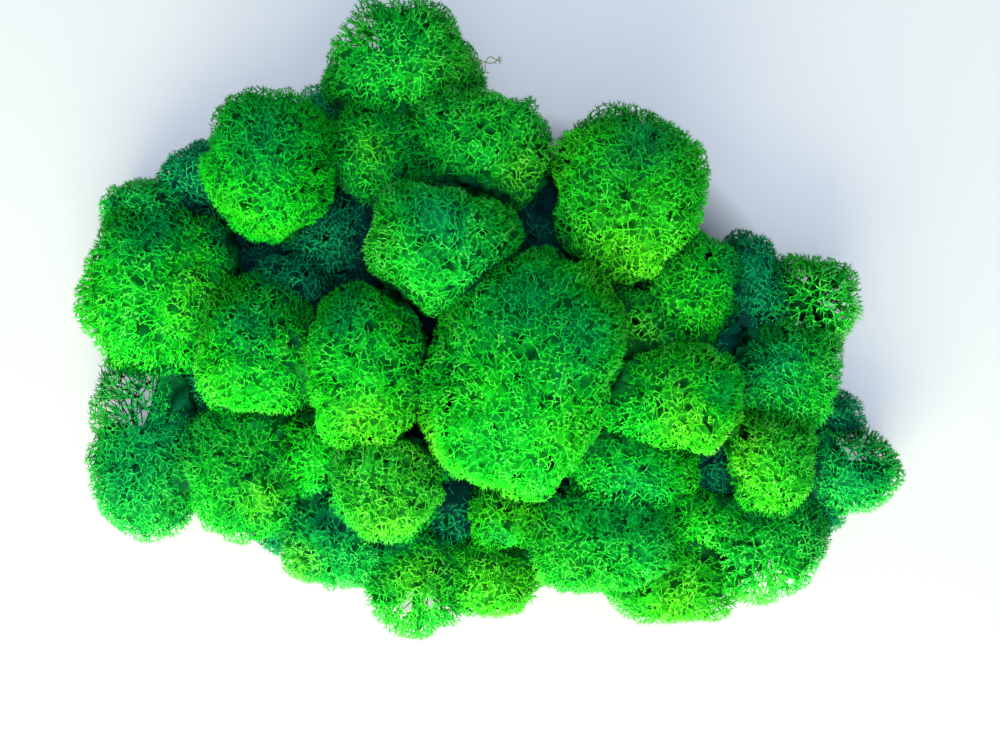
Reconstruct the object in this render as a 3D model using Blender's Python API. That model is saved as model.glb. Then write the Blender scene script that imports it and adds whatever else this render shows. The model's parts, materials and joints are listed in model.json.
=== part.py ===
"""A clump of dyed reindeer moss: rounded heads of fine branching lichen, heaped on a flat surface.

Each head grew as one cushion, so each is one closed solid. Its skin is where the tips of its
branchlets end. It is swollen by its own lobes and small lumps, pressed flat where another head
leans on it, and flat underneath where it rests on the surface.

The tables give millimetres with the clump seen from straight above: X to the right, Y to the back,
Z up from the surface. The objects are in metres, with the origin under the middle of the clump.
"""

import math
from typing import NamedTuple

import bmesh
import bpy
import numpy as np

MM = 0.001

# How the skin is faceted. All lengths in this file are in millimetres.
FACET_LENGTH = 8.0
FEWEST_POINTS = 50
MOST_POINTS = 236

# The shape of a free head: 2 would be a plain ellipsoid, and more is fuller in the shoulders.
CUSHION_POWER = 2.3
LUMP_SPACING = 13.0
LUMP_HEIGHT = 0.10  # of the head's radius, from crease to top
LUMP_SCATTER = 0.45  # of the distance between lumps
LUMP_SEED = 27

# How two heads lean on each other.
CONTACT_GAP = 0.3
UPPER_HEAD_YIELDS = 0.35  # the share of the overlap that the upper head gives up
FULL_YIELD_RISE = 15.0  # how much higher it sits before that share holds
LEAST_ROOM = 0.3  # of its reach that a head keeps, however hard it is pressed
PRESSED_EDGE_POWER = 30.0  # how sharp the edge of a pressed flat is


class Head(NamedTuple):
    """One moss head. half is its half width, half depth, height above and depth below the centre."""

    name: str
    centre: tuple
    half: tuple
    tone: str
    turn: float = 0.0
    lobes: tuple = ()


class Lobe(NamedTuple):
    """A place where a head bulges (reach over 1) or draws in (reach under 1), seen from its centre."""

    bearing: float
    rise: float
    reach: float
    spread: float


# Linear colours of the dyed moss, from the brightest heads to those deep in the heap.
TONES = {
    "bright_green": (0.010, 0.500, 0.012),
    "grass_green": (0.010, 0.330, 0.014),
    "yellow_green": (0.090, 0.480, 0.018),
    "blue_green": (0.004, 0.220, 0.045),
    "deep_green": (0.002, 0.085, 0.022),
}

TALL_HEADS = [
    Head("tall_head_back_left", (-66.6, 61.6, 46), (19.2, 22.2, 22, 52), "bright_green", 0,
         (Lobe(228, 0, 0.90, 20), Lobe(283, -5, 1.06, 20), Lobe(90, 0, 0.96, 22))),
    Head("tall_head_back_middle", (-6.6, 68.3, 38), (21.9, 17.4, 21, 42), "grass_green", 0,
         (Lobe(305, 0, 1.17, 24), Lobe(235, 0, 0.90, 22))),
    Head("tall_head_middle", (-16.6, 37.8, 48), (21.4, 19.0, 21, 54), "grass_green", 0,
         (Lobe(150, 10, 1.06, 22), Lobe(225, 0, 0.90, 18), Lobe(328, 0, 0.93, 20))),
    Head("tall_head_back_right", (38.4, 53.4, 42), (22.5, 25.3, 22, 44), "yellow_green", 0,
         (Lobe(143, 5, 1.08, 20), Lobe(3, 0, 1.07, 18), Lobe(318, 0, 0.88, 22),
          Lobe(50, 0, 0.94, 18))),
    Head("tall_head_left", (-39.4, 2.2, 46), (18.1, 23.4, 21, 48), "bright_green", 0,
         (Lobe(8, 0, 1.09, 24), Lobe(130, 10, 0.95, 22), Lobe(240, 0, 1.05, 20))),
    Head("largest_head", (7.2, -0.4, 50), (28.2, 35.4, 25, 54), "bright_green", -17,
         (Lobe(195, 0, 1.06, 22), Lobe(312, 0, 0.88, 22), Lobe(20, 10, 1.03, 24),
          Lobe(75, 0, 1.04, 20))),
    Head("tall_head_right", (50.0, -7.2, 38), (21.5, 18.0, 21, 42), "bright_green", 0,
         (Lobe(28, 5, 1.06, 22), Lobe(318, 0, 0.94, 20), Lobe(195, -5, 1.10, 24))),
    Head("tall_head_front_left", (-34.0, -31.9, 38), (17.2, 17.2, 19, 42), "grass_green", 0,
         (Lobe(285, 0, 1.06, 22), Lobe(40, 0, 1.05, 22))),
]

MIDDLE_HEADS = [
    Head("head_behind_all", (-29.0, 94.4, 27), (22.0, 19.6, 22, 30), "grass_green", 0,
         (Lobe(200, -8, 1.26, 20), Lobe(146, 0, 0.93, 16), Lobe(112, 5, 1.08, 18),
          Lobe(84, 0, 0.90, 12), Lobe(58, 0, 0.97, 16), Lobe(300, -10, 1.15, 30))),
    Head("head_beside_back_middle", (-35.8, 67.0, 32), (14.6, 15.0, 16, 36), "grass_green", 0,
         (Lobe(135, -5, 1.12, 24),)),
    Head("head_left", (-72.8, 6.9, 34), (18.3, 20.4, 19, 38), "bright_green", 0,
         (Lobe(250, 0, 1.04, 24),)),
    Head("head_right", (58.0, 26.0, 32), (13.4, 16.2, 19, 36), "bright_green", -22,
         (Lobe(160, 0, 1.12, 24), Lobe(262, 0, 1.10, 24))),
    Head("head_ahead_of_right", (39.8, -27.8, 34), (18.0, 13.2, 15, 38), "bright_green", 0,
         (Lobe(215, 0, 1.08, 24), Lobe(265, 0, 0.92, 18), Lobe(150, -5, 1.20, 26))),
    Head("head_far_right_front", (81.0, -26.3, 32), (13.9, 15.6, 19, 38), "yellow_green", 0,
         (Lobe(150, 0, 1.06, 22),)),
    Head("head_front_middle", (30.5, -50.3, 28), (23.4, 17.0, 19, 34), "grass_green", 0,
         (Lobe(205, 0, 1.05, 22), Lobe(300, 0, 1.03, 22))),
]

LOW_HEADS = [
    Head("low_head_back_left", (-93.6, 62.2, 20), (10.6, 11.2, 15, 26), "deep_green"),
    Head("low_head_left_back", (-110.2, 50.0, 20), (13.6, 10.4, 15, 26), "blue_green", -8),
    Head("low_head_left_on_side", (-105.0, 27.6, 24), (24.6, 27.2, 18, 32), "bright_green", 0,
         (Lobe(143, 0, 0.86, 20), Lobe(205, 0, 1.04, 24), Lobe(320, 0, 1.02, 22))),
    Head("low_head_left_middle", (-63.5, 27.0, 25), (10.2, 8.8, 14, 32), "deep_green"),
    Head("low_head_front_far_left", (-111.4, -23.6, 20), (15.6, 26.6, 17, 26), "blue_green", 0,
         (Lobe(300, 0, 1.05, 20), Lobe(244, 0, 0.94, 18), Lobe(58, 0, 1.34, 26),
          Lobe(112, 0, 1.10, 20))),
    Head("low_head_front_left", (-77.6, -28.6, 24), (18.8, 22.0, 19, 30), "grass_green", 0,
         (Lobe(285, 0, 1.05, 20), Lobe(75, -5, 1.10, 24))),
    Head("low_head_beside_front_left", (-56.0, -23.6, 28), (11.6, 12.0, 14, 36), "bright_green"),
    Head("low_head_front", (-50.6, -50.2, 20), (17.8, 16.4, 17, 26), "blue_green", 0,
         (Lobe(222, 0, 0.95, 22), Lobe(335, 0, 1.08, 24))),
    Head("low_head_front_edge", (-26.4, -63.4, 16), (16.4, 17.6, 16, 21), "grass_green", 0,
         (Lobe(300, 0, 1.08, 22), Lobe(222, 0, 0.94, 20))),
    Head("low_head_front_yellow", (-1.6, -62.6, 18), (13.4, 13.0, 16, 24), "yellow_green", 0,
         (Lobe(35, 0, 1.08, 24), Lobe(325, 0, 0.88, 20))),
    Head("low_head_front_middle", (2.5, -43.0, 26), (11.4, 11.0, 14, 34), "yellow_green"),
    Head("low_head_front_right_edge", (53.0, -61.6, 17), (21.4, 16.6, 15, 22), "yellow_green", -12,
         (Lobe(322, 0, 1.06, 20),)),
    Head("low_head_front_right", (83.0, -52.8, 20), (20.2, 15.8, 17, 26), "grass_green", 22,
         (Lobe(322, 0, 0.84, 22), Lobe(60, 0, 1.06, 22))),
    Head("low_head_far_right", (108.8, -28.6, 20), (17.0, 13.6, 16, 26), "blue_green", 0,
         (Lobe(12, 5, 1.04, 22),)),
    Head("low_head_right", (87.4, 0.6, 26), (16.6, 16.4, 18, 32), "grass_green", 0,
         (Lobe(140, 0, 1.06, 24), Lobe(300, 0, 1.05, 24))),
    Head("low_head_back_far_right", (96.3, 23.2, 22), (13.6, 14.8, 17, 28), "grass_green", 0,
         (Lobe(48, 0, 0.86, 20),)),
    Head("low_head_back_right", (77.0, 27.2, 24), (9.2, 15.8, 16, 30), "deep_green", 0,
         (Lobe(60, 0, 1.08, 16),)),
    Head("low_head_inside_front_right", (62.0, -44.6, 22), (11.6, 10.0, 14, 30), "bright_green"),
    Head("low_head_inside_right", (43.6, 13.1, 28), (13.0, 11.6, 15, 34), "grass_green"),
    Head("low_head_inside_back", (-51.0, 44.2, 22), (14.0, 13.8, 16, 30), "deep_green"),
]

DEEP_HEADS = [
    Head("deep_head_left", (-74.0, 37.0, 13), (13.0, 10.5, 10, 18), "deep_green"),
    Head("deep_head_middle_left", (-45.0, 25.5, 13), (11.0, 11.0, 10, 18), "deep_green"),
    Head("deep_head_middle", (15.0, 47.5, 14), (14.0, 19.5, 12, 20), "deep_green"),
    Head("deep_head_inside_left", (-22.0, 13.0, 13), (13.0, 13.5, 10, 18), "deep_green"),
    Head("deep_head_inside_front", (-19.0, -22.0, 13), (12.0, 12.5, 10, 18), "deep_green"),
    Head("deep_head_front", (-13.5, -46.0, 13), (12.0, 14.5, 11, 18), "deep_green"),
    Head("deep_head_inside_front_right", (18.5, -33.5, 13), (14.0, 11.0, 12, 18), "deep_green"),
    Head("deep_head_front_right", (67.5, -29.0, 14), (13.0, 16.0, 12, 20), "deep_green"),
    Head("deep_head_inside_back_right", (37.5, 27.0, 14), (14.0, 11.0, 11, 20), "deep_green"),
    Head("deep_head_inside_far_right", (71.0, 10.0, 14), (11.5, 12.0, 11, 20), "deep_green"),
    Head("deep_head_back", (-52.5, 81.5, 13), (11.5, 10.5, 12, 18), "deep_green"),
    Head("deep_head_inside_back", (-50.0, 60.5, 13), (9.0, 10.5, 12, 18), "deep_green"),
    Head("deep_head_back_left", (-88.0, 47.0, 13), (13.0, 10.5, 11, 18), "deep_green"),
    Head("deep_head_far_left", (-94.5, -3.5, 12), (13.5, 12.5, 11, 17), "deep_green"),
    Head("deep_head_inside_front_left", (-61.0, -10.0, 13), (11.0, 10.5, 11, 18), "deep_green"),
    Head("deep_head_front_left", (-68.5, -47.0, 11), (9.5, 9.0, 9, 16), "deep_green"),
    Head("deep_head_far_right", (101.5, -13.5, 12), (13.0, 10.5, 11, 17), "deep_green"),
    Head("deep_head_front_far_right", (100.5, -41.0, 11), (10.0, 9.0, 10, 16), "deep_green"),
]

HEADS = TALL_HEADS + MIDDLE_HEADS + LOW_HEADS + DEEP_HEADS


def even_directions(count):
    """Unit vectors spread evenly over a ball, along one spiral from top to bottom."""
    index = np.arange(count)
    height = 1 - 2 * (index + 0.5) / count
    around = index * math.pi * (3 - math.sqrt(5))
    ring = np.sqrt(1 - height**2)
    return np.stack([ring * np.cos(around), ring * np.sin(around), height], axis=1)


def bearing_direction(bearing, rise):
    """The unit vector at this compass angle (degrees from +X towards +Y) and angle of rise."""
    bearing, rise = math.radians(bearing), math.radians(rise)
    flat = math.cos(rise)
    return np.array([flat * math.cos(bearing), flat * math.sin(bearing), math.sin(rise)])


def near_direction(directions, middle, spread):
    """1 along middle, falling smoothly to nothing past the spread, in degrees."""
    off_axis = 1 - directions @ middle
    return np.exp(-off_axis / (1 - math.cos(math.radians(spread))))


def cushion_radius(head, directions):
    """Distance from the head's centre to a plain rounded cushion, along each direction."""
    half_width, half_depth, height, depth = head.half
    turn = math.radians(head.turn)
    across = directions[:, 0] * math.cos(turn) + directions[:, 1] * math.sin(turn)
    along = directions[:, 1] * math.cos(turn) - directions[:, 0] * math.sin(turn)
    upright = directions[:, 2]
    tallness = np.where(upright > 0, height, depth)
    total = (
        np.abs(across / half_width) ** CUSHION_POWER
        + np.abs(along / half_depth) ** CUSHION_POWER
        + np.abs(upright / tallness) ** CUSHION_POWER
    )
    return total ** (-1 / CUSHION_POWER)


def lump_relief(head, directions, number):
    """Small rounded lumps with creases between them, as a share of the radius."""
    half_width, half_depth, _, _ = head.half
    around = math.pi * (half_width + half_depth)
    count = max(8, round(around**2 / math.pi / LUMP_SPACING**2 * 1.6))
    apart = 2 / math.sqrt(count)
    random = np.random.default_rng(LUMP_SEED + number)
    tops = even_directions(count) + random.normal(0, LUMP_SCATTER * apart / 2, (count, 3))
    tops /= np.linalg.norm(tops, axis=1, keepdims=True)
    off_top = 1 - (directions @ tops.T).max(axis=1)
    off_crease = 1 - math.cos(1.1 * apart)
    return LUMP_HEIGHT * (0.5 - np.clip(off_top / off_crease, 0, 1))


def grown_radius(head, directions, number):
    """Distance to the head's own skin, before its neighbours and the surface press on it."""
    radius = cushion_radius(head, directions)
    for lobe in head.lobes:
        middle = bearing_direction(lobe.bearing, lobe.rise)
        radius = radius * (1 + (lobe.reach - 1) * near_direction(directions, middle, lobe.spread))
    return radius * (1 + lump_relief(head, directions, number))


def unit(vectors):
    return vectors / np.linalg.norm(vectors, axis=1, keepdims=True)


def grow(head, number):
    """A head before anything presses on it, as a shape: its centre, directions, radius and points."""
    half_width, half_depth, height, depth = head.half
    width = math.sqrt(half_width * half_depth)
    area = 4 * math.pi * width * (width + height + depth) / 3
    count = int(np.clip(1.5 * area / FACET_LENGTH**2, FEWEST_POINTS, MOST_POINTS))
    directions = even_directions(count)
    directions[:, 2] *= np.where(directions[:, 2] > 0, height, depth) / width
    directions = unit(directions)
    shape = {"centre": np.array(head.centre), "directions": directions}
    shape["radius"] = grown_radius(head, directions, number)
    shape["points"] = shape["centre"] + directions * shape["radius"][:, None]
    return shape


def contact_plane(first, second):
    """The plane between two shapes that cuts least off them: its normal and its offset."""
    between = second["centre"] - first["centre"]
    normals = even_directions(600)
    normals = normals[normals @ between > 0.5 * np.linalg.norm(between)]
    front = (first["points"] @ normals.T).max(axis=0)
    back = (second["points"] @ normals.T).min(axis=0)
    best = int(np.argmin(front - back))
    normal = normals[best]
    first_reach = front[best] - first["centre"] @ normal
    second_reach = second["centre"] @ normal - back[best]
    apart = between @ normal
    first_is_lower = np.clip(between[2] / FULL_YIELD_RISE, -1, 1)
    first_yields = 0.5 + (0.5 - UPPER_HEAD_YIELDS) * first_is_lower
    room = first_reach + (apart - first_reach - second_reach) * first_yields
    room = np.clip(room, LEAST_ROOM * first_reach, apart - LEAST_ROOM * second_reach)
    return normal, first["centre"] @ normal + room


def press(shape, normal, offset):
    """Draws the shape in where it would pass the plane, with a rounded edge to the flat."""
    room = offset - CONTACT_GAP / 2 - shape["centre"] @ normal
    facing = np.maximum(shape["directions"] @ normal, 0)
    share = shape["radius"] * facing / room
    shape["radius"] = shape["radius"] / (1 + share**PRESSED_EDGE_POWER) ** (1 / PRESSED_EDGE_POWER)


def near_enough(first, second):
    apart = np.linalg.norm(second["centre"] - first["centre"])
    return apart < first["radius"].max() + second["radius"].max()


def rest_on_surface(shape):
    """Stops each ray from the centre at the surface, Z = 0, which makes a flat foot."""
    centre = shape["centre"]
    points = centre + shape["directions"] * shape["radius"][:, None]
    below = points[:, 2] < 0
    kept = centre[2] / (centre[2] - points[below, 2])
    points[below] = centre + (points[below] - centre) * kept[:, None]
    points[below, 2] = 0.0
    shape["points"] = points


def settle(shapes):
    """Presses every pair of neighbouring shapes apart and rests them all on the surface."""
    contacts = [
        (first, second, *contact_plane(first, second))
        for place, first in enumerate(shapes)
        for second in shapes[place + 1:]
        if near_enough(first, second)
    ]
    for first, second, normal, offset in contacts:
        press(first, normal, offset)
        press(second, -normal, -offset)
    for shape in shapes:
        rest_on_surface(shape)


def dyed_moss(name, tone):
    material = bpy.data.materials.new(name)
    material.use_nodes = True
    shader = material.node_tree.nodes["Principled BSDF"]
    shader.inputs["Base Color"].default_value = (*TONES[tone], 1)
    shader.inputs["Roughness"].default_value = 0.9
    shader.inputs["Metallic"].default_value = 0.0
    return material


def add_head(head, shape, middle):
    """Joins the points as their directions join up on a ball, so the skin closes once round."""
    mesh = bpy.data.meshes.new(head.name)
    work = bmesh.new()
    verts = [work.verts.new(direction) for direction in shape["directions"]]
    bmesh.ops.convex_hull(work, input=verts)
    bmesh.ops.recalc_face_normals(work, faces=work.faces)
    for vert, point in zip(verts, shape["points"]):
        vert.co = (point - shape["centre"]) * MM
    work.to_mesh(mesh)
    work.free()
    mesh.shade_smooth()
    mesh.materials.append(dyed_moss("dyed_moss_" + head.name, head.tone))
    item = bpy.data.objects.new(head.name, mesh)
    item.location = (shape["centre"] - middle) * MM
    bpy.context.collection.objects.link(item)


def clear_scene():
    for item in list(bpy.data.objects):
        bpy.data.objects.remove(item)


def main():
    clear_scene()
    shapes = [grow(head, number) for number, head in enumerate(HEADS)]
    settle(shapes)
    points = np.concatenate([shape["points"] for shape in shapes])
    low, high = points.min(axis=0), points.max(axis=0)
    middle = (low + high) / 2 * (1, 1, 0)
    for head, shape in zip(HEADS, shapes):
        add_head(head, shape, middle)
    print("clump", np.round(high - low, 1), "mm, set about", np.round(middle, 2), "mm")


main()
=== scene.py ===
# %% [markdown]
# # A clump of dyed reindeer moss
#
# Reindeer moss is a lichen. It grows as round heads of very fine branchlets, which fork again and
# again and end in short blunt tips. Florists soak it in glycerine and green dye, which keeps it soft.
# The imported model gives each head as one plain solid, the skin that its tips reach. This lesson grows
# the branchlets inside those skins as real mesh, dyes them, and lights the clump as in a studio.

import json
import math
import time

import bpy
import numpy as np
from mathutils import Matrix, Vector, kdtree, noise
from mathutils.bvhtree import BVHTree


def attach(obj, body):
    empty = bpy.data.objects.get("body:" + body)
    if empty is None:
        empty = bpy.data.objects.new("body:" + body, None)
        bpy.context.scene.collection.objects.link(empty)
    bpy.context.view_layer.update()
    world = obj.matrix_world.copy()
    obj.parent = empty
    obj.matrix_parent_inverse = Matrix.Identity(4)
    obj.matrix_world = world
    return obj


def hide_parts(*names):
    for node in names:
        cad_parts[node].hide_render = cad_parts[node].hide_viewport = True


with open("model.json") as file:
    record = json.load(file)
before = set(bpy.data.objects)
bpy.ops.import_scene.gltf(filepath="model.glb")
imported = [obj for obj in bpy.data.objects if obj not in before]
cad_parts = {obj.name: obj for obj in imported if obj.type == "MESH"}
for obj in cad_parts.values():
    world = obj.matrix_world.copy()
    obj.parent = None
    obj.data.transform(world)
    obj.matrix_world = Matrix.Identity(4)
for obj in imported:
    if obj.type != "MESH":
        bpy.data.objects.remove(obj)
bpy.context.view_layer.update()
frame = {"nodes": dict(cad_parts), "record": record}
started = time.time()
MM = 0.001
head_names = sorted(frame["nodes"])
slot_of = {part["node"]: part["material_slot"] for part in frame["record"]["subparts"]}
print(len(head_names), "heads in", len(set(slot_of.values())), "dyes")

# %% [markdown]
# ## Reading a head's skin
#
# The solids come in with their facets split, which suits a renderer but not a grower: a branchlet has
# to know which way is out. So equal corners are welded, and each gets the mean direction of its
# facets. All lengths below are in millimetres, because that is how one thinks about moss.

# %% Corners, facets and outward directions of one skin


def unit(rows):
    """Each row at length one."""
    return rows / (np.linalg.norm(rows, axis=-1, keepdims=True) + 1e-9)


def read_skin(name):
    """The welded corners of a head's solid in mm, its triangles, and the way out at each corner."""
    mesh = frame["nodes"][name].data
    mesh.calc_loop_triangles()
    loose = np.zeros(len(mesh.vertices) * 3)
    mesh.vertices.foreach_get("co", loose)
    facets = np.zeros(len(mesh.loop_triangles) * 3, np.int32)
    mesh.loop_triangles.foreach_get("vertices", facets)
    corners, welded = np.unique((loose.reshape(-1, 3) / MM).round(2), axis=0, return_inverse=True)
    facets = welded.reshape(-1)[facets].reshape(-1, 3)
    along, beside = corners[facets[:, 1]] - corners[facets[:, 0]], corners[facets[:, 2]] - corners[facets[:, 0]]
    across = np.cross(along, beside)
    area = np.linalg.norm(across, axis=1) / 2
    out = np.zeros_like(corners)
    for corner in range(3):
        np.add.at(out, facets[:, corner], across)
    return {"name": name, "corners": corners, "facets": facets, "area": area, "out": unit(out)}


skins = [read_skin(name) for name in head_names]
print(f"{sum(len(skin['facets']) for skin in skins)} facets, {sum(skin['area'].sum() for skin in skins):.0f} mm2")

# %% [markdown]
# ## Where the heads are open to the air
#
# Branchlets crowd where there is light and room, and are few where two heads press together or where
# a head rests on the table. Rays cast from each corner of the skins, over the heads and the table,
# say how much of the sky it sees. This sets how densely tips grow, and how much painted shade darkens them.

# %% One tree of all skins and the table, for casting rays
TABLE_REACH = 400.0
SKY_RAYS = 64
RAY_LENGTH = 90.0
STEEP = 0.85
LIT_FROM_ABOVE = 0.09


def even_directions(count):
    """Directions spread evenly over a whole ball, on a spiral."""
    step = np.arange(count) + 0.5
    rise = 1 - 2 * step / count
    turn = step * math.pi * (1 + 5**0.5)
    flat = np.sqrt(1 - rise**2)
    return np.stack([flat * np.cos(turn), flat * np.sin(turn), rise], axis=1)


def grow_tree():
    """A tree of every facet of the heads, and of the table under them."""
    corners = []
    facets = []
    count = 0
    for skin in skins:
        corners += skin["corners"].tolist()
        facets += (skin["facets"] + count).tolist()
        count += len(skin["corners"])
    reach = TABLE_REACH
    corners += [[-reach, -reach, 0], [reach, -reach, 0], [reach, reach, 0], [-reach, reach, 0]]
    facets += [[count, count + 1, count + 2], [count, count + 2, count + 3]]
    return BVHTree.FromPolygons(corners, facets)


everything = grow_tree()
sky = even_directions(SKY_RAYS)


def openness(point, out):
    """The share of the sky in front of a point that nothing hides, and the way to the open air."""
    facing = sky @ out
    start = Vector(point + out * 0.8)
    start.z = max(start.z, 0.1)
    seen = 0.0
    least = 0.0
    air = out * 0.5
    for way, weight in zip(sky, facing):
        if weight > 0.05 and everything.ray_cast(start, Vector(way), RAY_LENGTH)[0] is None:
            seen += weight
            air = air + way * weight
            if way[2] > STEEP:
                least = LIT_FROM_ABOVE
    return [max(seen / facing[facing > 0.05].sum(), least), *unit(air)]


for skin in skins:
    found = np.array([openness(*pair) for pair in zip(skin["corners"], skin["out"])])
    skin["open"] = found[:, 0]
    skin["air"] = found[:, 1:]
print(f"openness found in {time.time() - started:.1f} s")

# %% [markdown]
# ## The camera's place
#
# The clump is photographed from straight above, 450 mm over the table. A camera there also lets a
# place on the clump be named by what the picture shows: a ray from the camera through that pixel
# meets the skin where the yellow or open patch is, and the patch then belongs to the moss itself.

# %% The camera, looking straight down
CAMERA_HEIGHT = 450.0
CAMERA_ACROSS = 2.36
CAMERA_UP = -16.79
FOCAL_PIXELS = 1383.0
PICTURE_WIDTH = 1000
PICTURE_HEIGHT = 750
SENSOR = 36.0

eye = Vector((CAMERA_ACROSS, CAMERA_UP, CAMERA_HEIGHT))
camera_data = bpy.data.cameras.new("overhead_camera")
camera_data.sensor_width = SENSOR
camera_data.lens = SENSOR * FOCAL_PIXELS / PICTURE_WIDTH
camera_data.clip_start = 0.01
camera = bpy.data.objects.new("overhead_camera", camera_data)
camera.location = eye * MM
bpy.context.scene.collection.objects.link(camera)
bpy.context.scene.camera = camera


def seen_at(across, down):
    """The point of the clump, in mm, that the picture shows at a pixel."""
    way = Vector((across - PICTURE_WIDTH / 2, PICTURE_HEIGHT / 2 - down, -FOCAL_PIXELS)).normalized()
    return np.array(everything.ray_cast(eye, way)[0])


print("the middle of the picture shows", seen_at(500, 375).round(1))

# %% [markdown]
# ## Patches that differ
#
# No two heads are alike. Some edges are lacy, with few branchlets and nothing behind them, and some
# patches have turned yellow. The blue patches are painted shade: the moss there is made bluer and
# darker where the sides of heads face the gaps, and in hollows. Each kind of patch is a list of places
# with a radius, and fades out from its middle.

# %% Lacy edges, yellow patches, and blue patches of painted shade
LACY_EDGES = {
    "head_behind_all": [((350, 22), 8), ((325, 75), 5)],
    "low_head_back_far_right": [((822, 300), 14), ((842, 300), 11), ((812, 272), 10)],
    "low_head_far_right": [((876, 434), 14)],
    "low_head_front_far_left": [((110, 386), 13), ((138, 368), 9)],
    "low_head_front_edge": [((400, 621), 8), ((440, 624), 7)],
    "low_head_front_right": [((775, 583), 9), ((750, 592), 7)],
    "low_head_front_right_edge": [((738, 604), 8)],
}
YELLOW_PATCHES = [
    ((365, 425), 9),
    ((425, 460), 10),
    ((395, 525), 12),
    ((530, 175), 9),
    ((620, 255), 13),
    ((690, 425), 10),
    ((745, 450), 12),
    ((410, 570), 10),
    ((495, 570), 9),
    ((265, 505), 8),
    ((370, 150), 6),
    ((640, 335), 8),
    ((510, 510), 9),
    ((520, 582), 7),
    ((300, 560), 8),
    ((670, 600), 9),
]
# Places where the moss is painted bluer and darker, as painted shade by the gaps and in hollows.
BLUE_PAINTED_SHADE_PATCHES = [
    ((520, 290), 15),
    ((590, 330), 12),
    ((120, 470), 13),
    ((150, 430), 12),
    ((645, 500), 12),
    ((250, 320), 10),
    ((340, 310), 8),
    ((860, 470), 12),
    ((755, 285), 12),
    ((270, 130), 12),
    ((440, 210), 10),
    ((650, 130), 12),
    ((330, 520), 10),
    ((160, 225), 11),
    ((224, 240), 9),
    ((285, 280), 9),
    ((350, 295), 6),
    ((768, 362), 12),
    ((725, 395), 7),
    ((400, 545), 8),
    ((500, 540), 7),
    ((300, 500), 8),
]


def place_patches(patches):
    """The middle of each patch on the clump and its radius, in mm."""
    middles = np.array([seen_at(*pixel) for pixel, _ in patches])
    return middles, np.array([radius for _, radius in patches], float)


def patch_strength(points, placed):
    """How far each point is inside a patch, from 0 to 1."""
    middles, radii = placed
    strength = np.zeros(len(points))
    for middle, radius in zip(middles, radii):
        near = np.linalg.norm(points - middle, axis=1) / radius
        strength = np.maximum(strength, np.exp(-(near**2) * 1.2))
    return strength


lacy_edges = {name: place_patches(patches) for name, patches in LACY_EDGES.items()}


def laciness(name, points):
    """How far points of a head are inside its lacy edges. Light falls through them from above."""
    if name not in lacy_edges:
        return np.zeros(len(points))
    middles, radii = lacy_edges[name]
    return np.clip(1.8 * patch_strength(points[:, :2], (middles[:, :2], radii)) - 0.5, 0, 1)


yellow_patches = place_patches(YELLOW_PATCHES)
blue_painted_shade_patches = place_patches(BLUE_PAINTED_SHADE_PATCHES)
print(len(LACY_EDGES), "heads with lacy edges,", len(YELLOW_PATCHES), "yellow and", len(BLUE_PAINTED_SHADE_PATCHES), "blue patches")

# %% [markdown]
# ## Tips first, stems last
#
# A lichen grows from its base outwards and forks in two at each step. Growing it that way in code
# makes it hard to end exactly at the skin. So this lesson works backwards: it scatters the tips over
# the skin, about a millimetre apart, joins neighbours two or three at a time to a fork a little
# deeper, and joins those forks again. The result forks like moss, and its outline is the solid's.

# %% Picking points a set distance apart


def spread_out(points, gap, rng):
    """Picks points so that no two are closer than their gap. It gives their numbers."""
    tree = kdtree.KDTree(len(points))
    for number, point in enumerate(points):
        tree.insert(point, number)
    tree.balance()
    free = np.ones(len(points), bool)
    picked = []
    for number in rng.permutation(len(points)):
        if free[number]:
            picked.append(number)
            for _, other, _ in tree.find_range(points[number], gap[number]):
                free[other] = False
    return np.array(picked)


def nearest(points, among):
    """For each point, the number of the nearest of some others."""
    tree = kdtree.KDTree(len(among))
    for number, point in enumerate(among):
        tree.insert(point, number)
    tree.balance()
    return np.array([tree.find(point)[1] for point in points])


# %% [markdown]
# A flat facet would show through the moss as a flat spot. Phong's trick rounds it: a point of the
# facet is laid onto the plane of each corner, and the three results are mixed.

# %% Tip sites, scattered over a rounded skin
ROUNDING = 0.7
OPEN_GAP = 0.66
SIDE_GAP = 0.6
HIDDEN_GAP = 3.7
LACY_GAP = 1.6
TRIES_PER_TIP = 7.0
GROOVE_FILL = 4.2
TALL_GROOVE_FILL = 1.2
GROOVE_OPEN = 0.6
GROOVE_SHUT = 0.06
HOLE_EVERY = 70.0
HOLE_RADII = (0.6, 1.4)


def on_skin(skin, facet, share):
    """Points on the rounded skin, the way out there, and how open they are."""
    corner = skin["facets"][facet]
    place = skin["corners"][corner]
    out = skin["out"][corner]
    flat = (place * share[:, :, None]).sum(axis=1)
    lift = ((flat[:, None] - place) * out).sum(axis=2, keepdims=True)
    rounded = ((flat[:, None] - lift * out) * share[:, :, None]).sum(axis=1)
    way = unit((out * share[:, :, None]).sum(axis=1))
    air = unit((skin["air"][corner] * share[:, :, None]).sum(axis=1))
    seen = (skin["open"][corner] * share).sum(axis=1)
    fill = np.clip(1 - seen / GROOVE_OPEN, 0, 1) * np.clip(seen / GROOVE_SHUT, 0.15, 1)
    most = TALL_GROOVE_FILL if skin["name"].startswith(("tall", "largest")) else GROOVE_FILL
    place = flat + ROUNDING * (rounded - flat) + air * most * fill[:, None]
    return place, unit(way * (1 - fill[:, None]) + air * fill[:, None]), seen


def tip_gap(seen, rise, lacy):
    """The distance between tips, which is small where the moss sees the sky."""
    shown = np.clip(seen / 0.16, 0, 1)
    least = OPEN_GAP + SIDE_GAP * np.clip(0.25 - rise, 0, 0.8)
    gap = HIDDEN_GAP + (least - HIDDEN_GAP) * shown**0.5
    return gap * (1 + (LACY_GAP - 1) * lacy)


CREASE_SPACING = 8.0
CREASE_WIDTH = 0.22
CREASE_DEPTH = 2.4
WAVE_SPACING = 15.0
WAVE_HEIGHT = 4.2
HIGHEST_WAVE = 1.3


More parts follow.
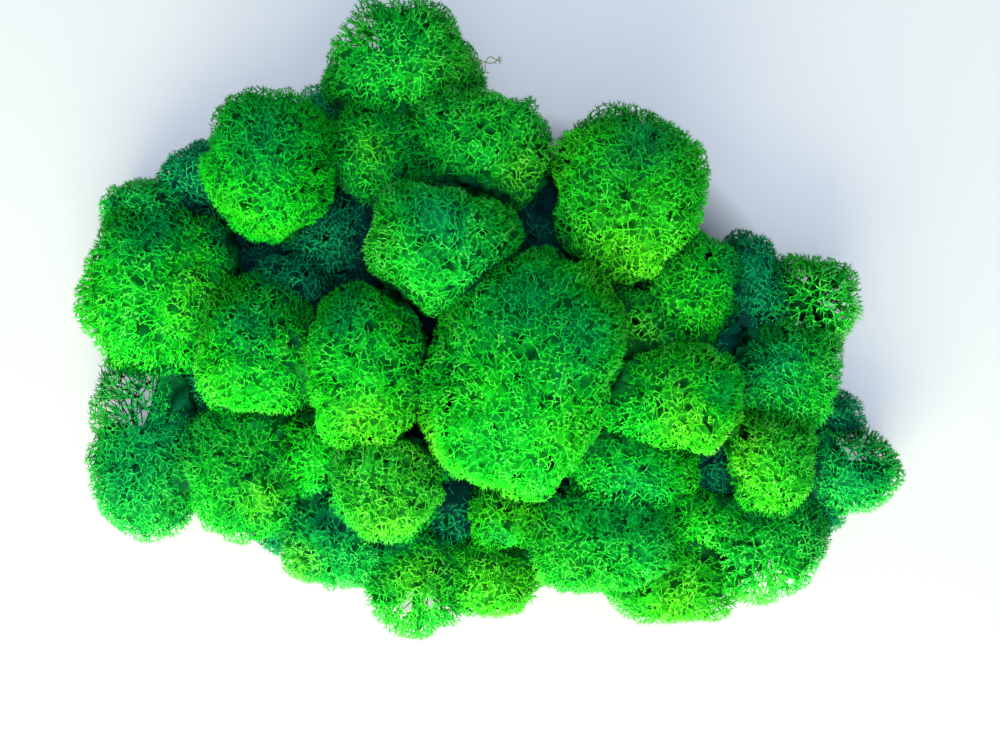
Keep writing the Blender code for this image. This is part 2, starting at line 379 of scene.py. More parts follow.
def creases(points):
    """1 along the creases between the lumps of a head, falling to 0 beside them."""
    ridge = np.array([abs(noise.noise(Vector(point / CREASE_SPACING))) for point in points])
    return np.clip(1 - ridge / CREASE_WIDTH, 0, 1) ** 1.5


def relief(points, crease):
    """How far the moss stands over the plain skin, in mm: slow waves, cut by the creases."""
    waves = np.array([noise.noise(Vector(point / WAVE_SPACING + 40)) for point in points])
    return np.minimum(WAVE_HEIGHT * waves, HIGHEST_WAVE) - CREASE_DEPTH * crease


def outside_holes(points, holes, radii):
    """Which points are outside small holes, where branchlets never met and one sees down."""
    kept = np.ones(len(points), bool)
    for hole, radius in zip(holes, radii):
        kept &= np.linalg.norm(points - hole, axis=1) > radius
    return kept


def tip_sites(skin, rng):
    """Where the tips of one head reach its skin."""
    seen = skin["open"][skin["facets"]].mean(axis=1)
    rise = skin["out"][skin["facets"]][:, :, 2].mean(axis=1)
    tries = skin["area"] / tip_gap(seen, rise, 0.0) ** 2 * TRIES_PER_TIP
    count = rng.poisson(tries)
    facet = np.repeat(np.arange(len(count)), count)
    cut = np.sort(rng.random((len(facet), 2)), axis=1)
    share = np.stack([cut[:, 0], cut[:, 1] - cut[:, 0], 1 - cut[:, 1]], axis=1)
    point, out, seen = on_skin(skin, facet, share)
    lacy = laciness(skin["name"], point)
    holes = point[rng.random(len(point)) < 1 / (HOLE_EVERY * TRIES_PER_TIP / OPEN_GAP**2)]
    radii = rng.uniform(*HOLE_RADII, len(holes))
    kept = outside_holes(point, holes, radii)
    point, out, seen, lacy = point[kept], out[kept], seen[kept], lacy[kept]
    picked = spread_out(point, tip_gap(seen, out[:, 2], lacy), rng)
    point, out, seen, lacy = point[picked], out[picked], seen[picked], lacy[picked]
    crease = creases(point)
    point = point + out * relief(point, crease)[:, None]
    return {"point": point, "out": out, "open": seen, "crease": crease, "lacy": lacy, "holes": (holes, radii)}


# %% [markdown]
# ## Joining tips into forks
#
# Each ring of forks lies deeper than the last, on the way from the tips towards the head's root. A
# tuft is what shares a fork of the second ring: its tips lean together a little, so that small dark
# gaps open between tufts, which is what gives this moss its curly, spongy look.

# %% Forks of one head, ring by ring
RING_GAPS = (1.15, 2.1, 4.3)
RING_DEPTHS = (0.7, 1.9, 4.6)
ROOT_PULL = 0.45
LACY_DEPTH = 0.8
LACY_SPREAD = 0.35
TUFT_LEAN = 0.06
TUFT_LIFT = 0.4
FORK_SCATTER = 0.25
LOWEST_TIP = 0.3
LOWEST_FORK = 0.6

# Where a head lies on its side, its strands stream from a root at one side of it, in head lengths.
ROOT_ASIDE = {
    "low_head_left_on_side": (0.75, 0.45, 0.1),
    "low_head_right": (-0.3, 0.5, 0.2),
    "head_far_right_front": (0.35, -0.35, 0.3),
}


def group_mean(rows, owner, count):
    """The mean of the rows that share an owner."""
    total = np.zeros((count,) + rows.shape[1:])
    np.add.at(total, owner, rows)
    size = np.bincount(owner, minlength=count).astype(float)
    return total / size.reshape((-1,) + (1,) * (rows.ndim - 1))


def head_root(skin):
    """Where a head's stems come from."""
    low, high = skin["corners"].min(axis=0), skin["corners"].max(axis=0)
    aside = np.array(ROOT_ASIDE.get(skin["name"], (0, 0, -0.3)))
    return (low + high) / 2 + aside * (high - low) / 2


def join_forks(skin, sites, rng):
    """Rings of forks under the tips, each with the number of the fork that carries it."""
    root = head_root(skin)
    ring = {"at": sites["point"]} | {key: sites[key] for key in ("out", "open", "crease", "lacy")}
    rings = [ring]
    done = 0.0
    for gap, depth in zip(RING_GAPS, RING_DEPTHS):
        sparse = tip_gap(ring["open"], ring["out"][:, 2], 0) / OPEN_GAP
        spacing = gap * (0.6 + 0.4 * sparse) * (1 + LACY_SPREAD * ring["lacy"])
        picked = spread_out(ring["at"], spacing, rng)
        ring["carrier"] = nearest(ring["at"], ring["at"][picked])
        below = {key: group_mean(rows, ring["carrier"], len(picked)) for key, rows in ring.items() if key != "carrier"}
        inward = unit((1 - ROOT_PULL) * -unit(below["out"]) + ROOT_PULL * unit(root - below["at"]))
        step = (depth - done) * (1 + LACY_DEPTH * below["lacy"]) * rng.uniform(0.7, 1.3, len(picked))
        below["at"] = below["at"] + inward * step[:, None]
        below["at"] += rng.normal(0, FORK_SCATTER * gap, below["at"].shape) * 0.5
        below["at"][:, 2] = np.maximum(below["at"][:, 2], LOWEST_FORK)
        rings.append(below)
        ring = below
        done = depth
    return rings


def lean_into_tufts(rings, rng):
    """Draws the tips of each tuft together, and lifts each tuft by its own amount."""
    tips, forks, tufts = rings[0], rings[1], rings[2]
    tuft = forks["carrier"][tips["carrier"]]
    crown = group_mean(tips["at"], tuft, len(tufts["at"]))
    lift = np.clip(rng.normal(0, TUFT_LIFT, len(crown)), -0.8, 0.5)
    reach = lift[tuft] + rng.uniform(-0.35, 0.4, len(tuft))
    tips["at"] = tips["at"] + TUFT_LEAN * (crown[tuft] - tips["at"]) + tips["out"] * reach[:, None]
    tips["at"][:, 2] = np.maximum(tips["at"][:, 2], LOWEST_TIP)
    return tuft


# %% [markdown]
# ## Branchlets as mesh
#
# A branchlet is about half a millimetre thick. Three sides are enough for it to look round at this
# size once it is shaded smooth, and few enough that the clump comes to nearly a million triangles.
# Each one is a closed form of its own whose ends are hidden in the forks.

# %% Closed three-sided branchlets, all of a kind at once
NORMAL_LEAN = 0.68


def leaning(own, out):
    """Shading normals between a strand's own and the head's way out, as light goes through strands."""
    return unit(own * (1 - NORMAL_LEAN) + out * NORMAL_LEAN)


def tubes(path, radius, pointed):
    """Closed tubes along many paths at once: corners, quads, triangles, and each corner's step."""
    count, steps, _ = path.shape
    way = unit(path[:, -1] - path[:, 0])
    helper = np.where(np.abs(way[:, 2:3]) < 0.8, [[0.0, 0.0, 1.0]], [[1.0, 0.0, 0.0]])
    side = unit(np.cross(way, helper))
    other = np.cross(way, side)
    ringed = steps - 1 if pointed else steps
    corner = []
    own = []
    for step in range(ringed):
        for turn in (0, 120, 240):
            angle = math.radians(turn)
            edge = math.cos(angle) * side + math.sin(angle) * other
            corner.append(path[:, step] + edge * radius[:, step, None])
            own.append(edge)
    if pointed:
        corner.append(path[:, -1])
        own.append(way)
    corner = np.stack(corner, axis=1)
    own = np.stack(own, axis=1)
    quads = []
    for step in range(ringed - 1):
        for edge in range(3):
            low, next_low = step * 3 + edge, step * 3 + (edge + 1) % 3
            quads.append([low, next_low, next_low + 3, low + 3])
    last = ringed * 3 - 3
    triangles = [[0, 2, 1]]
    if pointed:
        triangles += [[last + edge, last + (edge + 1) % 3, last + 3] for edge in range(3)]
    else:
        triangles.append([last, last + 1, last + 2])
    each = corner.shape[1]
    start = (np.arange(count) * each)[:, None, None]
    quads = (np.array(quads, int).reshape(1, -1, 4) + start).reshape(-1, 4)
    triangles = (np.array([triangles], int) + start).reshape(-1, 3)
    along = np.minimum(np.arange(each) // 3, steps - 1) / (steps - 1)
    return corner.reshape(-1, 3), quads, triangles, along, own


TIP_RADIUS = 0.08
STEM_RADIUS = 0.14
FORK_RADII = (0, 0.115, 0.17)
LACY_RADIUS = 0.07


def slivers(path, radius):
    """Closed strands of four facets each, wide across at one end and wide upright at the other."""
    start, end = path[:, 0], path[:, 1]
    way = unit(end - start)
    helper = np.where(np.abs(way[:, 2:3]) < 0.8, [[0.0, 0.0, 1.0]], [[1.0, 0.0, 0.0]])
    side = unit(np.cross(way, helper))
    other = np.cross(way, side)
    radius = np.ones((len(path), 1)) * radius
    near, far = (side + other) * radius, (side - other) * radius
    corner = np.stack([start - near, start + near, end - far, end + far], axis=1)
    faces = np.array([[[0, 2, 1], [1, 3, 0], [0, 3, 2], [1, 2, 3]]])
    triangles = (faces + (np.arange(len(path)) * 4)[:, None, None]).reshape(-1, 3)
    own = unit(np.stack([-near, near, -far, far], axis=1))
    return corner.reshape(-1, 3), np.zeros((0, 4), int), triangles, np.array([0, 0, 1.0, 1.0]), own


# %% [markdown]
# ## Age and tint
#
# Two numbers colour every branchlet. Its age runs from the dark base at 0 to the fresh tip at 1: deeper
# forks are darker partly because they are older and partly as painted shade, and the age is lowered
# again as painted shade where little sky is seen, in creases, on lacy edges and in blue patches. Its
# tint runs from blue-green at 0, through the head's own dye in the middle, to yellow at 1. Both go
# into the mesh's UV map, so that the dye can be painted from them.

# %% The two colouring numbers
# Deeper rings are darker, partly from age and partly as painted shade.
RING_AGES_AND_SHADE = (1.0, 0.88, 0.72, 0.5)
# The core is given a low age, so that it is painted dark as shade.
CORE_PAINTED_SHADE_AGE = 0.26
# Painted shade: how much darker the moss is along the creases between lumps.
CREASE_PAINTED_SHADE = 0.38
# Painted shade: how much darker the strands of lacy edges are, as their undersides lie in shade.
LACY_PAINTED_SHADE = 0.03
# Painted shade: how much darker the moss is in the blue patches.
BLUE_PATCH_PAINTED_SHADE = 0.22


def tint_of(points, slot):
    """Where each point is between blue-green and yellow."""
    # The blue patches turn the tint towards blue-green, as painted shade.
    tint = 0.5 + 0.3 * patch_strength(points, yellow_patches) - 0.36 * patch_strength(points, blue_painted_shade_patches)
    drift = np.array([noise.noise(Vector(point * 0.05)) for point in points])
    # The deep heads in the gaps are turned bluer, as painted shade.
    return np.clip(tint + 0.16 * drift - 0.1 * (slot == "moss_deep_green"), 0.03, 0.97)


def age_and_painted_shade_of(ring_number, ring, vigour):
    """A ring's age, lowered as painted shade where little sky is seen and in creases and patches."""
    shade = 0.5 + 0.5 * np.clip(ring["open"] / 0.5, 0, 1)
    shade = shade * (1 - CREASE_PAINTED_SHADE * ring["crease"]) * (1 - LACY_PAINTED_SHADE * ring["lacy"])
    shade = shade * (1 - BLUE_PATCH_PAINTED_SHADE * patch_strength(ring["at"], blue_painted_shade_patches))
    return np.clip(RING_AGES_AND_SHADE[ring_number] * shade * vigour, 0.03, 0.97)


# %% A core inside the branchlets, dark with painted shade
CORE_DEPTH = 3.6
CORE_LACY_DEPTH = 34.0
CORE_ROUGHNESS = 0.5
CORE_SPLITS = 3
CORE_CRUMPLE = 0.5
HOLE_DEPTH = 4.0
# Painted shade: how much darker the core is under the small holes.
HOLE_PAINTED_SHADE = 0.2


def split_facet(splits):
    """Even points over a facet, as shares of its corners, and the small facets between them."""
    number = {}
    shares = []
    for first in range(splits + 1):
        for second in range(splits + 1 - first):
            number[first, second] = len(shares)
            shares.append([first / splits, second / splits, (splits - first - second) / splits])
    small = []
    for first, second in number:
        if first + second < splits:
            small.append([number[first, second], number[first + 1, second], number[first, second + 1]])
        if first + second < splits - 1:
            small.append([number[first + 1, second], number[first + 1, second + 1], number[first, second + 1]])
    return np.array(shares), np.array(small)


def core_of(skin, holes, radii, rng):
    """A crumpled form inside the head where the moss is too dense to see into, dark as painted shade."""
    count = len(skin["facets"])
    shares, small = split_facet(2 if skin["name"].startswith("deep") else CORE_SPLITS)
    facet = np.repeat(np.arange(count), len(shares))
    point, out, seen = on_skin(skin, facet, np.tile(shares, (count, 1)))
    place, first, welded = np.unique(point.round(2), axis=0, return_index=True, return_inverse=True)
    corner = welded.reshape(count, len(shares))
    triangles = corner[:, small].reshape(-1, 3)
    middle = skin["corners"].mean(axis=0)
    seen = seen[first]
    lacy = laciness(skin["name"], place)
    hollow = ~outside_holes(place, holes, radii * 1.25)
    shown = np.clip(seen / 0.3, 0.05, 1)
    crease = creases(place)
    depth = (CORE_DEPTH - relief(place, crease)) * shown + HOLE_DEPTH * hollow
    depth += CORE_LACY_DEPTH * lacy + rng.normal(0, CORE_ROUGHNESS, len(place))
    reach = np.linalg.norm(place - middle, axis=1)
    share = np.clip(depth / reach, 0.0, 0.92)
    rough = rng.normal(0, CORE_ROUGHNESS, place.shape) * np.maximum(shown, 0.8)[:, None]
    shrunk = place + (middle - place) * share[:, None] + rough
    shrunk[:, 2] = np.maximum(shrunk[:, 2], LOWEST_FORK)
    # The core is painted dark as shade, and darker still where it sees little sky, in creases and in holes.
    age = CORE_PAINTED_SHADE_AGE * (0.3 + 1.2 * np.clip(seen / 0.5, 0, 1)) * (1 - CREASE_PAINTED_SHADE * crease) - HOLE_PAINTED_SHADE * hollow
    return shrunk, triangles, age, out[first]


# %% [markdown]
# ## One head
#
# The pieces above are joined into one mesh for each head: the core, the branchlets of two rings, and
# the pointed tips. It replaces the head's plain solid and keeps its place.

# %% From skin to finished mesh


TIE_RADII = (0, 0.105, 0.155, 0.2)
TIE_SHARES = (0, 0.8, 0.8, 0)
LACY_TIE_SHARES = (0, 0.5, 0.8, 0.45)
LACY_STEM_SHARE = 0.4
LACY_STEM = 0.5
LACY_STEM_RADIUS = 0.2

# Some heads took the dye darker or lighter than their neighbours.
FRESHNESS = {
    "tall_head_back_left": 0.85,
    "tall_head_back_right": 0.9,
    "tall_head_left": 0.96,
    "head_right": 0.88,
    "head_beside_back_middle": 0.8,
    "low_head_front_middle": 0.88,
    "low_head_back_far_right": 1.12,
    "low_head_inside_front_right": 1.08,
    "low_head_inside_right": 1.12,
    "low_head_front_right": 1.08,
    "deep_head_back": 1.4,
    "deep_head_far_left": 1.3,
    "deep_head_inside_far_right": 1.4,
    "deep_head_inside_front": 1.4,
    "deep_head_inside_front_left": 1.7,
    "deep_head_left": 0.6,
    "deep_head_middle_left": 0.62,
    "deep_head_inside_back": 0.5,
}


def neighbours(points, ties, rng):
    """Pairs of forks a little apart, for strands that run along the head and make its net."""
    tree = kdtree.KDTree(len(points))
    for number, point in enumerate(points):
        tree.insert(point, number)
    tree.balance()
    found = []
    for tie in range(ties):
        pairs = []
        for number, point in enumerate(points):
            near = tree.find_n(point, 6)
            other = near[min(int(rng.integers(1, 6)), len(near) - 1)][1]
            if other != number:
                pairs.append((number, other))
        found.append(np.array(pairs, int).reshape(-1, 2))
    return found


def coloured(shape, ages, tints, out, rng):
    """A part of the mesh with its tint, age and shading normal at each corner."""
    corner, quads, triangles, along, own = shape
    normal = leaning(own, out[:, None, :]).reshape(-1, 3)
    old, young = ages
    age = old[:, None] + (young - old)[:, None] * along[None, :]
    tint = np.repeat(tints, len(along)) + rng.normal(0, 0.02, len(corner))
    return corner, quads, triangles, np.clip(tint, 0.01, 0.99), np.clip(age.reshape(-1), 0.02, 0.98), normal


counts = np.zeros(5, int)


def grow_head(skin, slot, rng):
    """All corners, faces, tints and ages of one head."""
    sites = tip_sites(skin, rng)
    rings = join_forks(skin, sites, rng)
    tuft = lean_into_tufts(rings, rng)
    vigour = [None, None, None, None]
    vigour[2] = rng.normal(1, 0.07, len(rings[2]["at"]))
    vigour[1] = vigour[2][rings[1]["carrier"]] * rng.normal(1, 0.04, len(rings[1]["at"]))
    vigour[0] = vigour[2][tuft] * rng.normal(1, 0.05, len(tuft))
    vigour[3] = np.ones(len(rings[3]["at"]))
    fresh = FRESHNESS.get(skin["name"], 1.0)
    ages = [age_and_painted_shade_of(number, ring, fresh * vigour[number]) for number, ring in enumerate(rings)]
    tints = [tint_of(ring["at"], slot) for ring in rings]
    parts = []
    for number in (2, 1, 0):
        ring, carrier = rings[number], rings[number + 1]
        start = carrier["at"][ring["carrier"]]
        path = np.stack([start, ring["at"]], axis=1)
        stout = LACY_RADIUS * ring["lacy"][:, None]
        if number:
            shape = slivers(path, FORK_RADII[number] + stout)
        else:
            radius = np.array([[STEM_RADIUS, TIP_RADIUS]]) * rng.uniform(0.85, 1.15, (len(path), 1)) + stout / 2
            shape = tubes(path, radius, True)
        along = (ages[number + 1][ring["carrier"]], ages[number])
        parts.append(coloured(shape, along, tints[number], ring["out"], rng))
    for number, ties in ((1, 1), (2, 2), (3, 2)):
        ring = rings[number]
        for pair in neighbours(ring["at"], ties, rng):
            lacy = ring["lacy"][pair[:, 0]]
            chance = TIE_SHARES[number] * (1 - lacy) + LACY_TIE_SHARES[number] * lacy
            pair = pair[rng.random(len(pair)) < chance]
            path = ring["at"][pair]
            shape = slivers(path, TIE_RADII[number])
            first = pair[:, 0]
            parts.append(coloured(shape, ages[number][pair].T * 0.92, tints[number][first], ring["out"][first], rng))
    bare = rng.random(len(rings[3]["lacy"])) < LACY_STEM_SHARE * (rings[3]["lacy"] > 0.15)
    if bare.any():
        end = rings[3]["at"][bare]
        start = end + (head_root(skin) - end) * LACY_STEM
        shape = slivers(np.stack([start, end], axis=1), LACY_STEM_RADIUS)
        along = (ages[3][bare] * 0.7, ages[3][bare])
        parts.append(coloured(shape, along, tints[3][bare], rings[3]["out"][bare], rng))
    corner, triangles, age, out = core_of(skin, *sites["holes"], rng)
    age = fresh * age * rng.normal(1, 0.2, len(corner))
    tint = tint_of(corner, slot) + rng.normal(0, 0.1, len(corner))
    empty = np.zeros((0, 4), int)
    normal = unit(out + rng.normal(0, CORE_CRUMPLE, out.shape))
    parts.append((corner, empty, triangles, np.clip(tint, 0.01, 0.99), np.clip(age, 0.02, 0.98), normal))
    counts[0] += len(rings[0]["at"])
    counts[1] += len(rings[1]["at"])
    counts[2] += len(rings[2]["at"])
    counts[3] += len(rings[3]["at"])
    counts[4] += len(triangles)
    return parts


def mesh_of(name, parts):
    """One mesh object from a list of parts."""
    first = np.cumsum([0] + [len(part[0]) for part in parts])
    corners = np.concatenate([part[0] for part in parts]) * MM
    quads = np.concatenate([part[1] + start for part, start in zip(parts, first)])
    triangles = np.concatenate([part[2] + start for part, start in zip(parts, first)])
    tint = np.concatenate([part[3] for part in parts])
    age = np.concatenate([part[4] for part in parts])
    loops = np.concatenate([quads.reshape(-1), triangles.reshape(-1)]).astype(np.int32)
    starts = np.concatenate([np.arange(len(quads)) * 4, len(quads) * 4 + np.arange(len(triangles)) * 3])
    mesh = bpy.data.meshes.new(name)
    mesh.vertices.add(len(corners))
    mesh.vertices.foreach_set("co", corners.astype(np.float32).reshape(-1))
    mesh.loops.add(len(loops))
    mesh.loops.foreach_set("vertex_index", loops)
    mesh.polygons.add(len(starts))
    mesh.polygons.foreach_set("loop_start", starts.astype(np.int32))
    mesh.update(calc_edges=True)
    mesh.shade_smooth()
    mesh.normals_split_custom_set_from_vertices(np.concatenate([part[5] for part in parts]))
    chart = mesh.uv_layers.new(name="OFBake")
    spots = np.stack([tint[loops], age[loops]], axis=1).astype(np.float32)
    chart.uv.foreach_set("vector", spots.reshape(-1))
    made = bpy.data.objects.new(name, mesh)
    bpy.context.scene.collection.objects.link(made)
    return made, len(quads) * 2 + len(triangles)


# %% [markdown]
# ## The dye
#
# A material is a small program. The class below lets its sums be written as sums: it wraps one
# socket, and adding or multiplying wrapped sockets adds the Math nodes. Colours go through Mix
# nodes, because a Math node would turn them grey.

# %% Writing shader maths as Python


class Wire:
    """One output socket of a finish. Sums and products of wires add Math nodes."""

    def __init__(self, finish, socket):
        self.finish = finish
        self.socket = socket

    def maths(self, operation, first, second):
        return self.finish.node("ShaderNodeMath", {"operation": operation}, {0: first, 1: second})

    def __add__(self, other):
        return self.maths("ADD", self, other)

    def __radd__(self, other):
        return self.maths("ADD", other, self)

    def __sub__(self, other):
        return self.maths("SUBTRACT", self, other)

    def __rsub__(self, other):
        return self.maths("SUBTRACT", other, self)

    def __mul__(self, other):
        return self.maths("MULTIPLY", self, other)

    def __rmul__(self, other):
        return self.maths("MULTIPLY", other, self)

    def clamped(self):
        return self.finish.node("ShaderNodeClamp", {}, {0: self})


class Finish:
    """A material in the making."""

    def __init__(self, name):
        self.material = bpy.data.materials.new(name)
        self.material.use_nodes = True
        self.tree = self.material.node_tree
        self.tree.nodes.clear()

    def node(self, kind, settings, sockets, output=0):
        """Adds a node: its settings are set first, then the values or links of its sockets."""
        made = self.tree.nodes.new(kind)
        for setting, value in settings.items():
            if setting == "stops":
                while len(made.color_ramp.elements) < len(value):
                    made.color_ramp.elements.new(0.5)
                for element, (position, colour) in zip(made.color_ramp.elements, value):
                    element.position = position
                    element.color = (*colour, 1)
            else:
                setattr(made, setting, value)
        for key, value in sockets.items():
            if isinstance(value, Wire):
                self.tree.links.new(value.socket, made.inputs[key])
            else:
                made.inputs[key].default_value = value
        return Wire(self, made.outputs[output]) if len(made.outputs) else made

    def mix(self, share, first, second):
        """A colour between two colours."""
        return self.node("ShaderNodeMix", {"data_type": "RGBA"}, {0: share, 6: first, 7: second}, output=2)


# %% [markdown]
# The dye is brightest on the young tips, and the ramps fall to near black at the lowest age, which is
# partly the old base and partly painted shade. Three ramps over age hold it: one where it has gone
# blue-green, one in the head's own green, and one where it has gone yellow. Tint then mixes them. A
# fine grain breaks up the colour, as the mealy surface of the lichen does, and the same grain drives
# roughness and a slight bump.

# %% The moss finish
COOL_DYE = [
    (0.0, (0.0, 0.010, 0.022)),
    (0.25, (0.0, 0.075, 0.040)),
    (0.5, (0.0, 0.24, 0.075)),
    (0.8, (0.003, 0.52, 0.11)),
    (1.0, (0.05, 0.76, 0.19)),
]
WARM_DYE = [
    (0.0, (0.0, 0.03, 0.003)),
    (0.25, (0.012, 0.17, 0.003)),
    (0.5, (0.05, 0.46, 0.004)),
    (0.8, (0.17, 0.80, 0.010)),
    (1.0, (0.42, 0.93, 0.12)),
]
OWN_DYES = {
    "moss_bright_green": [
        (0.0, (0.0, 0.020, 0.016)),
        (0.25, (0.0, 0.19, 0.014)),
        (0.5, (0.001, 0.42, 0.010)),
        (0.8, (0.006, 0.66, 0.010)),
        (1.0, (0.12, 0.81, 0.085)),
    ],
    "moss_grass_green": [
        (0.0, (0.0, 0.016, 0.016)),
        (0.25, (0.0, 0.17, 0.020)),
        (0.5, (0.001, 0.38, 0.017)),
        (0.8, (0.008, 0.61, 0.024)),
        (1.0, (0.11, 0.78, 0.11)),
    ],
    "moss_yellow_green": [
        (0.0, (0.0, 0.020, 0.012)),
        (0.25, (0.003, 0.20, 0.010)),
        (0.5, (0.010, 0.43, 0.010)),
        (0.8, (0.018, 0.68, 0.014)),
        (1.0, (0.15, 0.82, 0.09)),
    ],
    "moss_blue_green": [
        (0.0, (0.0, 0.014, 0.020)),
        (0.25, (0.0, 0.15, 0.032)),
        (0.5, (0.001, 0.35, 0.040)),
        (0.8, (0.014, 0.60, 0.055)),
        (1.0, (0.14, 0.79, 0.18)),
    ],
    # The deep heads, down in the gaps between the others, are dyed darker and bluer as painted shade.
    "moss_deep_green": [
        (0.0, (0.0, 0.006, 0.016)),
        (0.25, (0.0, 0.055, 0.042)),
        (0.5, (0.0, 0.145, 0.060)),
        (0.8, (0.002, 0.29, 0.080)),
        (1.0, (0.012, 0.46, 0.12)),
    ],
}
GRAIN_SCALE = 45.0
GRAIN_SHARE = 0.5


def moss_finish(name, own_dye):
    """The finish of one dye, painted from the tint and age in the UV map."""
    finish = Finish(name)
    chart = finish.node("ShaderNodeUVMap", {"uv_map": "OFBake"}, {})
    tint = finish.node("ShaderNodeSeparateXYZ", {}, {0: chart}, output=0)
    age = finish.node("ShaderNodeSeparateXYZ", {}, {0: chart}, output=1)
    grain = finish.node("ShaderNodeTexNoise", {"noise_dimensions": "2D"}, {"Vector": chart, "Scale": GRAIN_SCALE})
    cool = finish.node("ShaderNodeValToRGB", {"stops": COOL_DYE}, {0: age})
    own = finish.node("ShaderNodeValToRGB", {"stops": own_dye}, {0: age})
    warm = finish.node("ShaderNodeValToRGB", {"stops": WARM_DYE}, {0: age})
    colour = finish.mix((1 - tint * 2).clamped(), own, cool)
    colour = finish.mix((tint * 2 - 1).clamped(), colour, warm)
    faded = finish.node("ShaderNodeValToRGB", {"stops": own_dye}, {0: (age - 0.22).clamped()})
    colour = finish.mix((grain * 3 - 1.2).clamped() * GRAIN_SHARE, colour, faded)
    bump = finish.node("ShaderNodeBump", {}, {"Strength": 0.2, "Distance": 0.0001, "Height": grain})
    shader = finish.node(
        "ShaderNodeBsdfPrincipled",
        {},
        {"Base Color": colour, "Roughness": grain * 0.25 + 0.6, "Specular IOR Level": 0.06, "Normal": bump},
    )
    finish.node("ShaderNodeOutputMaterial", {}, {"Surface": shader})
    return finish.material


dyes = {slot: moss_finish(slot, own_dye) for slot, own_dye in OWN_DYES.items()}
print("dyes:", ", ".join(dyes))

# %% Growing every head
SEED = 4200
total = 0
for number, skin in enumerate(skins):
    slot = slot_of[skin["name"]]
    rng = np.random.default_rng(SEED + number)
    head, triangles = mesh_of("moss_" + skin["name"], grow_head(skin, slot, rng))
    head.data.materials.append(dyes[slot])
    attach(head, "root")
    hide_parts(skin["name"])
    total += triangles
    print(f"{skin['name']}: {triangles} triangles")
print("by kind", counts)
print(f"{total} triangles in all after {time.time() - started:.1f} s")

# %% [markdown]
# ## A loose twig
#
# A curl of dry moss, 8 mm long, sticks out of the head behind all. It has lost its dye and is a dull
# olive all over. It is thinner than a millimetre, so it is modelled here only, as short lengths of
# tube along its bends.

# %% The twig's bends, by where the picture shows them
TWIG_HEIGHT = 34.0
TWIG_RISE = 0.12
TWIG_RADIUS = 0.2
TWIG_BENDS = [
    [(474, 60), (478, 60), (482, 63), (486, 61), (487.5, 58), (491, 56.5), (495, 59), (498, 60), (502, 60.5)],
    [(486, 61), (488, 63), (492, 63), (495, 61.5), (498, 60), (499.5, 55.6)],
    [(486, 61), (485.3, 65), (485.3, 69), (486.5, 73), (489, 72)],
    [(482, 63), (480.5, 66), (480, 69)],
    [(498, 60), (500, 62), (499.8, 64.4)],
    [(495, 61.5), (496.3, 64.1)],
    [(498, 60), (500, 58), (501.5, 57.5)],
]


def over_table(across, down, height):
    """The place in mm, at a height, that the picture shows at a pixel."""
    scale = (CAMERA_HEIGHT - height) / FOCAL_PIXELS
    flat = (across - PICTURE_WIDTH / 2) * scale, (PICTURE_HEIGHT / 2 - down) * scale
    return [CAMERA_ACROSS + flat[0], CAMERA_UP + flat[1], height]


lengths = []
for bend in TWIG_BENDS:
    knots = [over_table(*pixel, TWIG_HEIGHT + TWIG_RISE * (pixel[0] - 474)) for pixel in bend]
    lengths += list(zip(knots[:-1], knots[1:]))
lengths = np.array(lengths)
rng = np.random.default_rng(7)
shape = tubes(lengths, np.full((len(lengths), 2), TWIG_RADIUS), False)
fresh_end = np.clip((lengths[:, 1, 0] + 2.0) / 6.0, 0.05, 1.0)
ages = (0.1 + 0.35 * fresh_end, 0.15 + 0.45 * fresh_end)
upward = np.tile([0.0, 0.0, 1.0], (len(lengths), 1))
twig, triangles = mesh_of("loose_twig", [coloured(shape, ages, np.full(len(lengths), 0.85), upward, rng)])
dry = Finish("dry_moss")
straw = dry.node("ShaderNodeBsdfPrincipled", {}, {"Base Color": (0.2, 0.25, 0.09, 1), "Roughness": 0.8})
dry.node("ShaderNodeOutputMaterial", {}, {"Surface": straw})
twig.data.materials.append(dry.material)
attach(twig, "root")
print(f"loose twig: {triangles} triangles")

# %% [markdown]
# ## The studio
#
# The clump lies on white card. A wide soft light stands beyond the near edge and a little to the
# left, so that the near side of each head is bright and shadows fall away to the far right. The rest
# of the light is a pale blue room, which turns the shaded moss blue-green. The card also glows, as
# painted light that lifts its shadows, and an oval under the middle of the clump is painted dark
# green and kept from glowing, as painted shade.

# %% White card that glows, with painted shade under the clump, soft light and a pale room
CARD_SIZE = 3.0
GLOW_WIDTH = 0.125
GLOW_LENGTH = 0.09
card_mesh = bpy.data.meshes.new("white_card")
half = CARD_SIZE / 2
card_mesh.from_pydata([(-half, -half, 0), (half, -half, 0), (half, half, 0), (-half, half, 0)], [], [(0, 1, 2, 3)])
card = bpy.data.objects.new("white_card", card_mesh)
bpy.context.scene.collection.objects.link(card)

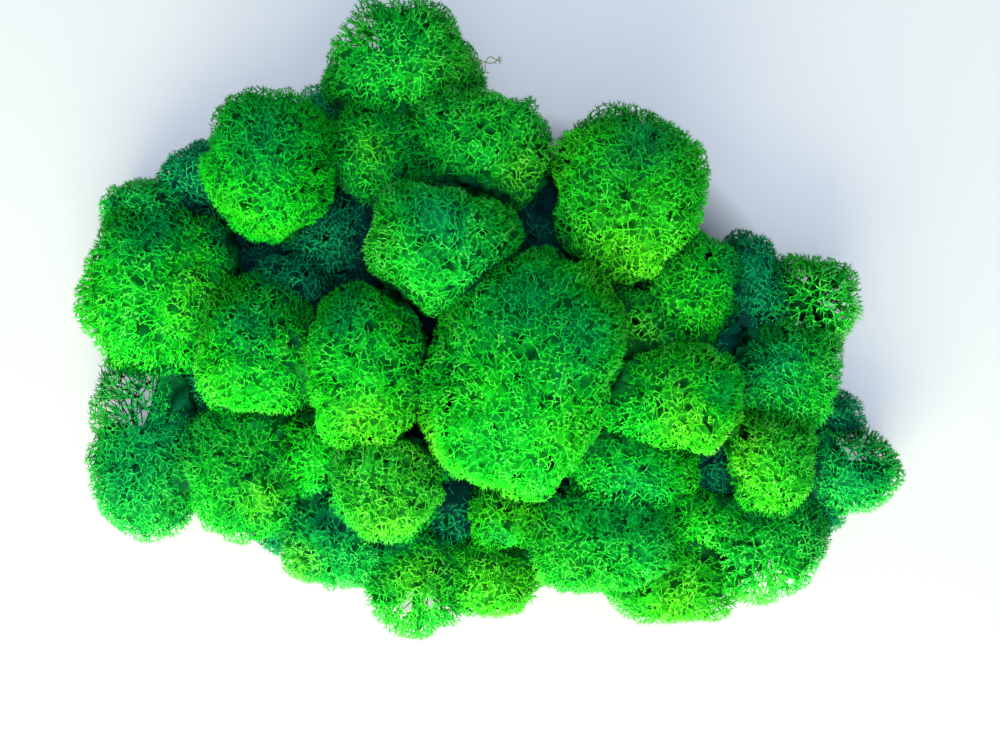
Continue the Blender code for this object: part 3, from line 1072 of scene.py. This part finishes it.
paper = Finish("white_card")
place = paper.node("ShaderNodeTexCoord", {}, {}, output=3)
fibre = paper.node("ShaderNodeTexNoise", {}, {"Vector": place, "Scale": 900.0})
across = paper.node("ShaderNodeSeparateXYZ", {}, {0: place}, output=0)
up = paper.node("ShaderNodeSeparateXYZ", {}, {0: place}, output=1)
away = (across * across * (4.0 / GLOW_WIDTH**2) + up * up * (4.0 / GLOW_LENGTH**2) - 1.4).clamped()
# The card glows except under the clump, as painted light that lifts its shadows.
painted_glow = paper.mix(away, (0, 0, 0, 1), (0.77, 0.80, 0.92, 1))
tone_and_painted_shade = paper.mix(fibre, (0.34, 0.34, 0.34, 1), (0.36, 0.36, 0.36, 1))
# Under the middle of the clump the card is painted dark green, as painted shade where the gaps show it.
tone_and_painted_shade = paper.mix(away, (0.01, 0.05, 0.05, 1), tone_and_painted_shade)
sheet = paper.node(
    "ShaderNodeBsdfPrincipled",
    {},
    {
        "Base Color": tone_and_painted_shade,
        "Roughness": 0.7,
        "Specular IOR Level": 0.2,
        "Emission Color": painted_glow,
        "Emission Strength": 0.42,
    },
)
paper.node("ShaderNodeOutputMaterial", {}, {"Surface": sheet})
card_mesh.materials.append(paper.material)


def soft_light(name, place, aim, size, power, colour):
    """A square light that faces a point."""
    data = bpy.data.lights.new(name, "AREA")
    data.size = size
    data.energy = power
    data.color = colour
    lamp = bpy.data.objects.new(name, data)
    lamp.location = place
    lamp.rotation_euler = (Vector(aim) - Vector(place)).to_track_quat("-Z", "Y").to_euler()
    bpy.context.scene.collection.objects.link(lamp)


soft_light("near_window", (-0.17, -0.68, 0.38), (0, 0.02, 0.03), 0.7, 16.5, (1.0, 0.97, 0.5))
soft_light("ceiling", (0.0, -0.5, 1.4), (0, 0, 0), 1.2, 13, (0.95, 1.0, 1.0))
soft_light("blue_sky_above", (0.0, -0.02, 1.0), (0, -0.02, 0), 0.3, 2.0, (0.45, 0.7, 1.0))

room = bpy.data.worlds.new("pale_room")
room.use_nodes = True
room.node_tree.nodes["Background"].inputs["Color"].default_value = (0.5, 0.72, 1.0, 1)
room.node_tree.nodes["Background"].inputs["Strength"].default_value = 0.6
bpy.context.scene.world = room
bpy.context.scene.view_settings.view_transform = "Standard"
